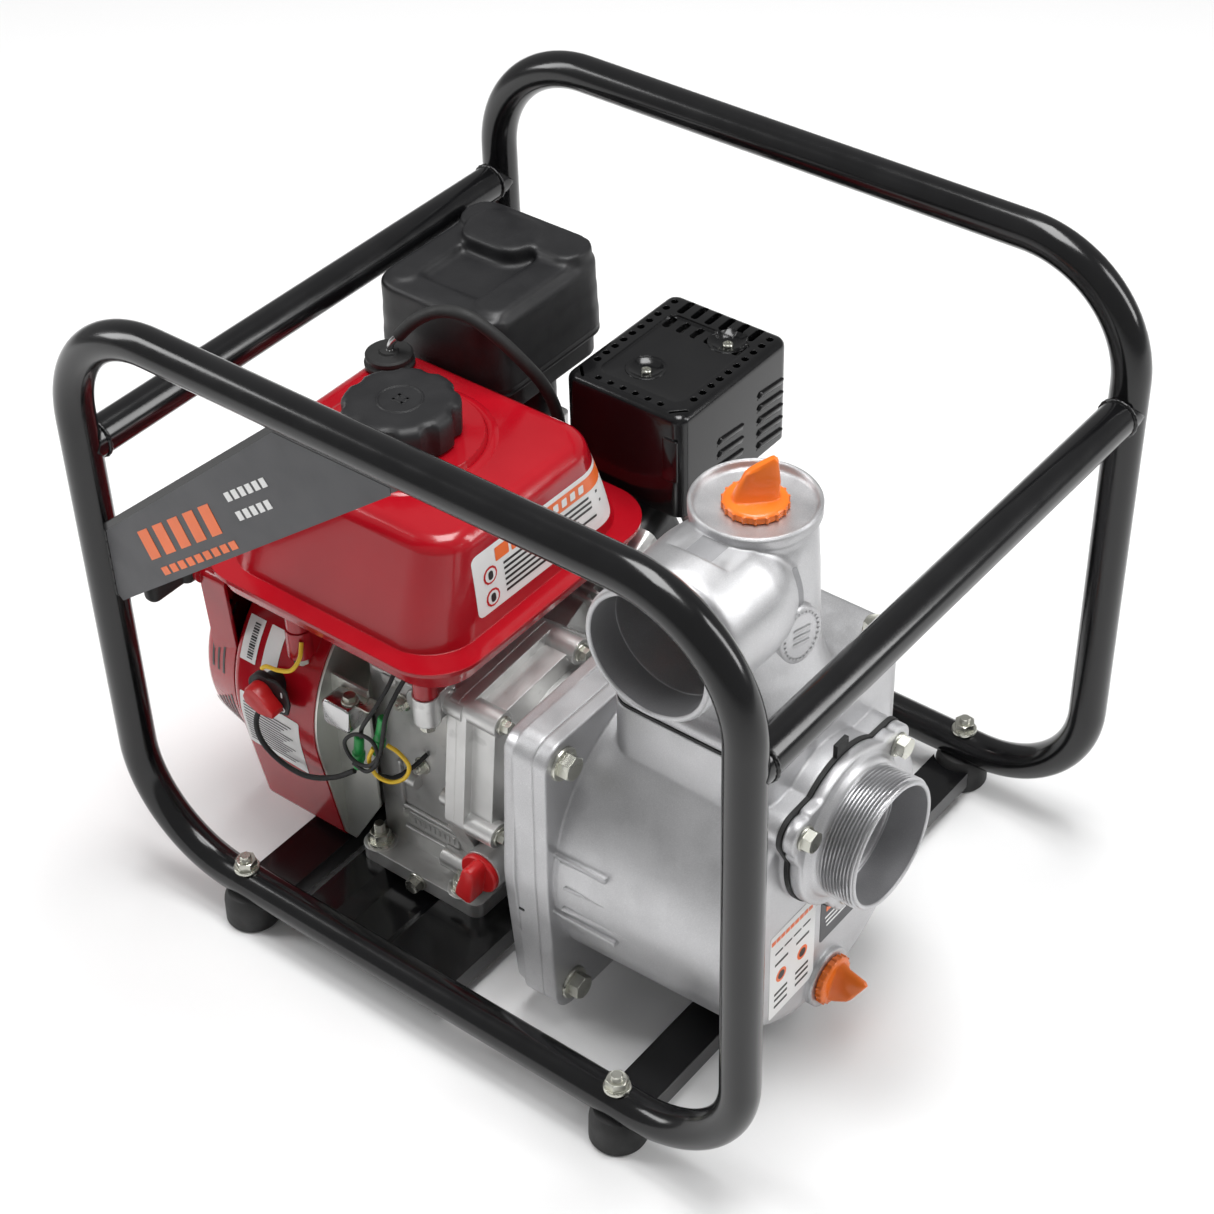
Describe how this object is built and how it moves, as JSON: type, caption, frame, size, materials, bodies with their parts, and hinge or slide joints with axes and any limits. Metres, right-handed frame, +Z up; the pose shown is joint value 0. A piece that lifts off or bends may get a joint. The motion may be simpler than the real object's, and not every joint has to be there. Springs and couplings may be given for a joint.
{
  "type": "engine driven trash pump",
  "caption": "Centrifugal trash pump with a recoil-start petrol engine in a tubular carrying frame on rubber feet, with threaded suction and discharge ports.",
  "frame": {"origin": "on the ground under the middle of the frame", "axes": "+X along the crankshaft towards the suction port, +Y towards the muffler side, +Z up"},
  "size_m": [0.525, 0.4418, 0.4735],
  "materials": {
    "black_frame": "gloss black enamel",
    "black_rubber": "matt black rubber",
    "zinc_steel": "zinc plated",
    "pump_aluminium": "cast, silver painted, satin",
    "raw_aluminium": "raw die cast",
    "cast_iron": "as cast",
    "bright_steel": "machined",
    "red_paint": "gloss red enamel",
    "black_plastic": "satin black",
    "orange_plastic": "moulded orange",
    "foam": "oiled foam",
    "rope": "braided cord"
  },
  "bodies": {
    "base": {"side_loop_near": "black_frame", "side_loop_far": "black_frame", "crossbar_front": "black_frame", "crossbar_rear": "black_frame", "front_channel": "black_frame", "rear_channel": "black_frame", "engine_plate": "black_frame", "label_plate": "black_frame", "muffler_guard": "black_frame", "rubber_feet": "black_rubber", "shaft_seal": "black_rubber", "suction_gasket": "black_rubber", "elbow_gasket": "black_rubber", "vapour_hose": "black_rubber", "switch_wires": "black_rubber", "plug_lead": "black_rubber", "foot_bolts": "zinc_steel", "suction_bolts": "zinc_steel", "elbow_bolts": "zinc_steel", "casing_bolts": "zinc_steel", "cover_bolts": "zinc_steel", "engine_bolts": "zinc_steel", "drain_bolt": "zinc_steel", "guard_screws": "zinc_steel", "shroud_plate": "zinc_steel", "spark_plug": "zinc_steel", "pump_adapter": "pump_aluminium", "pump_casing": "pump_aluminium", "suction_flange": "pump_aluminium", "discharge_elbow": "pump_aluminium", "crankcase": "raw_aluminium", "crankcase_cover": "raw_aluminium", "cylinder_head": "raw_aluminium", "piston": "raw_aluminium", "carburettor": "raw_aluminium", "muffler": "raw_aluminium", "volute": "cast_iron", "connecting_rod": "bright_steel", "fuel_tank": "red_paint", "fan_cover": "red_paint", "recoil_housing": "red_paint", "air_cleaner_base": "black_plastic", "switch_body": "black_plastic", "oil_alert_unit": "black_plastic", "rocker_cover": "black_plastic", "air_cleaner_element": "foam"},
    "crank": {"crankshaft": "bright_steel", "flywheel": "cast_iron", "impeller": "cast_iron"},
    "cam": {"camshaft": "bright_steel"},
    "reel": {"recoil_reel": "black_plastic"},
    "pull": {"starter_handle": "black_plastic", "starter_rope": "rope"},
    "cap": {"fuel_cap": "black_plastic"},
    "priming": {"priming_plug": "orange_plastic"},
    "drain": {"drain_plug": "orange_plastic"},
    "oil": {"oil_plug": "red_paint"},
    "knob": {"switch_knob": "black_plastic"},
    "flap": {"flap_valve": "black_rubber"},
    "filter_lid": {"air_cleaner_cover": "black_plastic"}
  },
  "joints": [
    {"name": "crankshaft_spin", "type": "hinge", "parent": "base", "child": "crank", "pos_m": [0, -0.048, 0.1295], "axis": [1, 0, 0], "continuous": true},
    {"name": "camshaft_spin", "type": "hinge", "parent": "base", "child": "cam", "pos_m": [-0.048, -0.068, 0.08919], "axis": [1, 0, 0], "continuous": true},
    {"name": "starter_pull", "type": "slide", "parent": "base", "child": "pull", "axis": [-1, 0, 0], "range_m": [0, 0.5]},
    {"name": "reel_turn", "type": "hinge", "parent": "base", "child": "reel", "pos_m": [-0.232, -0.048, 0.1295], "axis": [1, 0, 0], "range_deg": [0, 600]},
    {"name": "fuel_cap_turn", "type": "hinge", "parent": "base", "child": "cap", "pos_m": [-0.133, -0.04, 0.335], "axis": [0, 0, 1], "range_deg": [0, 90]},
    {"name": "priming_plug_turn", "type": "hinge", "parent": "base", "child": "priming", "pos_m": [0.147, -0.048, 0.396], "axis": [0, 0, 1], "range_deg": [0, 720]},
    {"name": "drain_plug_turn", "type": "hinge", "parent": "base", "child": "drain", "pos_m": [0.211, -0.048, 0.043], "axis": [1, 0, 0], "range_deg": [0, 720]},
    {"name": "oil_plug_turn", "type": "hinge", "parent": "base", "child": "oil", "pos_m": [-0.006, -0.133, 0.078], "axis": [0, -1, 0], "range_deg": [0, 720]},
    {"name": "switch_turn", "type": "hinge", "parent": "base", "child": "knob", "pos_m": [-0.174, -0.15, 0.159], "axis": [0, -1, 0], "range_deg": [-60, 0]},
    {"name": "flap_swing", "type": "hinge", "parent": "base", "child": "flap", "pos_m": [0.209, -0.048, 0.223], "axis": [0, 1, 0], "range_deg": [0, 60]},
    {"name": "filter_lid_lift", "type": "slide", "parent": "base", "child": "filter_lid", "axis": [0, 0, 1], "range_m": [0, 0.08]}
  ],
  "couplings": [
    {"joint": "camshaft_spin", "follows": "crankshaft_spin", "ratio": -0.5},
    {"joint": "reel_turn", "follows": "starter_pull", "rad_per_m": 20.833}
  ]
}
